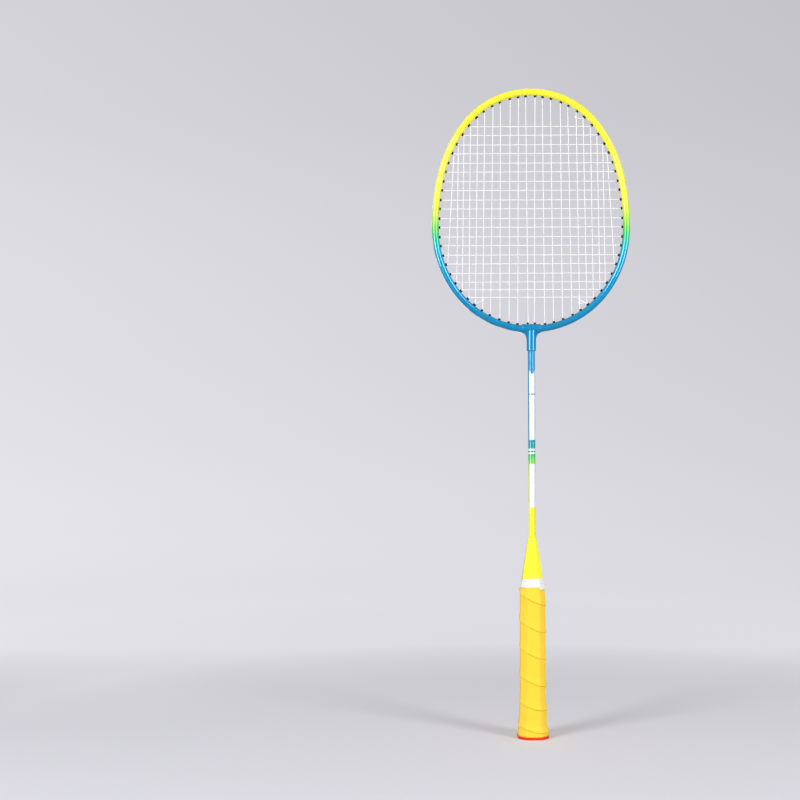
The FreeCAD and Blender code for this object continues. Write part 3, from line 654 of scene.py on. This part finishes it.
# The paper near the racket takes the light and the shadows. Further out it is darker and glows by
# itself, by distance on the floor and by height on the sweep and wall. It is matched to the front
# view, and is less even from other sides. In millimetres.
PAPER_BY_DISTANCE = (
    (0.0, (217, 216, 223)),
    (600.0, (216, 215, 222)),
    (1070.0, (156, 155, 160)),
    (1720.0, (89, 88, 91)),
    (2300.0, (63, 63, 64)),
)
GLOW_BY_DISTANCE = (
    (0.0, (0, 0, 0)),
    (230.0, (0, 0, 0)),
    (320.0, (56, 55, 55)),
    (550.0, (113, 112, 114)),
    (800.0, (160, 159, 163)),
    (1070.0, (192, 191, 196)),
    (1720.0, (216, 215, 221)),
    (2300.0, (220, 219, 225)),
)
GLOW_BY_HEIGHT = (
    (0.0, (220, 219, 225)),
    (70.0, (220, 219, 225)),
    (225.0, (217, 216, 222)),
    (475.0, (214, 213, 219)),
    (740.0, (212, 211, 217)),
    (1010.0, (209, 208, 214)),
    (1280.0, (204, 203, 209)),
    (1650.0, (201, 200, 206)),
)
GLOW_BEHIND = (60.0, 560.0)  # behind the racket the floor's glow begins over this stretch,
GLOW_AROUND = (650.0, 1000.0)  # and everywhere else over this one
WALL_START = (0.0, 20.0)  # heights over which the wall's glow takes over from the floor's
GLOW_ACROSS = (-1500.0, 1500.0, 1.08, 0.88)  # it is brighter on the left than on the right


def studio_paper():
    paint = Paint("studio_paper", Roughness=0.9, Specular_IOR_Level=0.1)
    flat = paint.stretched(1.0, 1.0, 0.0)
    length = paint.tree.nodes.new("ShaderNodeVectorMath")
    length.operation = "LENGTH"
    paint.link(flat, length.inputs[0])
    distance = length.outputs["Value"]
    floor_glow = paint.ramp(distance, GLOW_BY_DISTANCE)
    wall_glow = paint.ramp(paint.z, GLOW_BY_HEIGHT)
    behind = paint.spread(paint.y, *GLOW_BEHIND)
    lit = paint.math("MAXIMUM", behind, paint.spread(distance, *GLOW_AROUND))
    floor_glow = paint.mix(lit, BLACK, floor_glow)
    glow = paint.mix(paint.spread(paint.z, *WALL_START), floor_glow, wall_glow)
    falls = paint.tree.nodes.new("ShaderNodeHueSaturation")
    paint.link(glow, falls.inputs["Color"])
    paint.link(paint.spread(paint.x, *GLOW_ACROSS), falls.inputs["Value"])
    grey = paint.ramp(distance, PAPER_BY_DISTANCE)
    paint.colour(paint.tinted(grey, paint.noise(0.004), 0.006))
    paint.link(falls.outputs["Color"], paint.shader.inputs["Emission Color"])
    paint.shader.inputs["Emission Strength"].default_value = 1.0
    return paint


def round_surface(name, profile, paint, closed=False):
    """A surface turned about the vertical axis from (radius, height) points in metres.

    A closed one has a face over its first ring.
    """
    mesh = bmesh.new()
    turns = [2 * math.pi * i / AROUND for i in range(AROUND)]
    around = [(math.cos(t), math.sin(t)) for t in turns]
    rings = []
    for radius, height in profile:
        rings.append([mesh.verts.new((radius * x, radius * y, height)) for x, y in around])
    for a, b in zip(rings, rings[1:]):
        for i in range(AROUND):
            j = (i + 1) % AROUND
            mesh.faces.new((a[i], a[j], b[j], b[i]))
    if closed:
        mesh.faces.new(rings[0][::-1])
    bmesh.ops.recalc_face_normals(mesh, faces=mesh.faces)
    for face in mesh.faces:
        face.smooth = True
    data = bpy.data.meshes.new(name)
    mesh.to_mesh(data)
    mesh.free()
    surface = bpy.data.objects.new(name, data)
    bpy.context.scene.collection.objects.link(surface)
    data.materials.append(paint.material)
    return surface


def wall_profile():
    """The curve from the floor's edge up into the wall, and the wall's top."""
    points = []
    for i in range(SWEEP_STEPS + 1):
        angle = math.pi / 2 * i / SWEEP_STEPS
        reach = SWEEP_RADIUS * math.sin(angle)
        points.append((FLOOR_RADIUS + reach, SWEEP_RADIUS * (1 - math.cos(angle))))
    return points + [(FLOOR_RADIUS + SWEEP_RADIUS, WALL_TOP)]


# A round floor that curves up into a wall, so that the racket can be seen from all sides. The wall
# lets the soft light of the surroundings through, and neither shows in the racket's gloss.
paper = studio_paper()
floor = round_surface("studio_floor", [(r, 0.0) for r in FLOOR_RINGS], paper, closed=True)
floor.visible_glossy = False
wall = round_surface("studio_wall", wall_profile(), paper)
wall.visible_diffuse = False
wall.visible_shadow = False
wall.visible_glossy = False

# ---- light --------------------------------------------------------------------------------------
world = bpy.data.worlds.new("studio_world")
bpy.context.scene.world = world
world.use_nodes = True
background = world.node_tree.nodes["Background"]
background.inputs["Color"].default_value = (0.97, 0.97, 1.0, 1)
background.inputs["Strength"].default_value = 0.25

AIM = Vector((0, 0, 0.34))  # half way up the racket
KEY = {"distance": 1.9, "height": 0.92, "width": 0.6, "tall": 1.75}
OVERHEAD = {"azimuth": 0, "distance": 0.3, "height": 2.8, "width": 2.5, "tall": 2.5}


def softbox(name, azimuth, distance, height, width, tall, power):
    """A soft light aimed at the racket, in metres and watts, by degrees from the front to +X."""
    light = bpy.data.lights.new(name, "AREA")
    light.shape = "RECTANGLE"
    light.size = width
    light.size_y = tall
    light.energy = power
    lamp = bpy.data.objects.new(name, light)
    angle = math.radians(azimuth)
    lamp.location = (distance * math.sin(angle), -distance * math.cos(angle), height)
    lamp.rotation_euler = (AIM - lamp.location).to_track_quat("-Z", "Y").to_euler()
    lamp.visible_camera = False
    bpy.context.scene.collection.objects.link(lamp)
    return lamp


softbox("key_left", azimuth=-48, power=27.5, **KEY)
softbox("key_right", azimuth=46, power=23.5, **KEY)
softbox("overhead", power=19, **OVERHEAD).visible_glossy = False

# A low even light on the back, without shadows or mirror images.
back_light = bpy.data.lights.new("back_light", "SUN")
back_light.energy = 1.2
back_light.use_shadow = False
back_lamp = bpy.data.objects.new("back_light", back_light)
back_lamp.rotation_euler = (math.radians(-75), 0, 0)
back_lamp.visible_glossy = False
bpy.context.scene.collection.objects.link(back_lamp)

# ---- camera -------------------------------------------------------------------------------------
camera = bpy.data.objects.new("camera", bpy.data.cameras.new("camera"))
camera.data.sensor_width = 36
camera.data.lens = 67.93
camera.location = (-0.1351, -1.55, 0.3466)
camera.rotation_euler = (math.radians(90), math.radians(0.24), 0)
bpy.context.scene.collection.objects.link(camera)
bpy.context.scene.camera = camera
bpy.context.scene.view_settings.view_transform = "Standard"
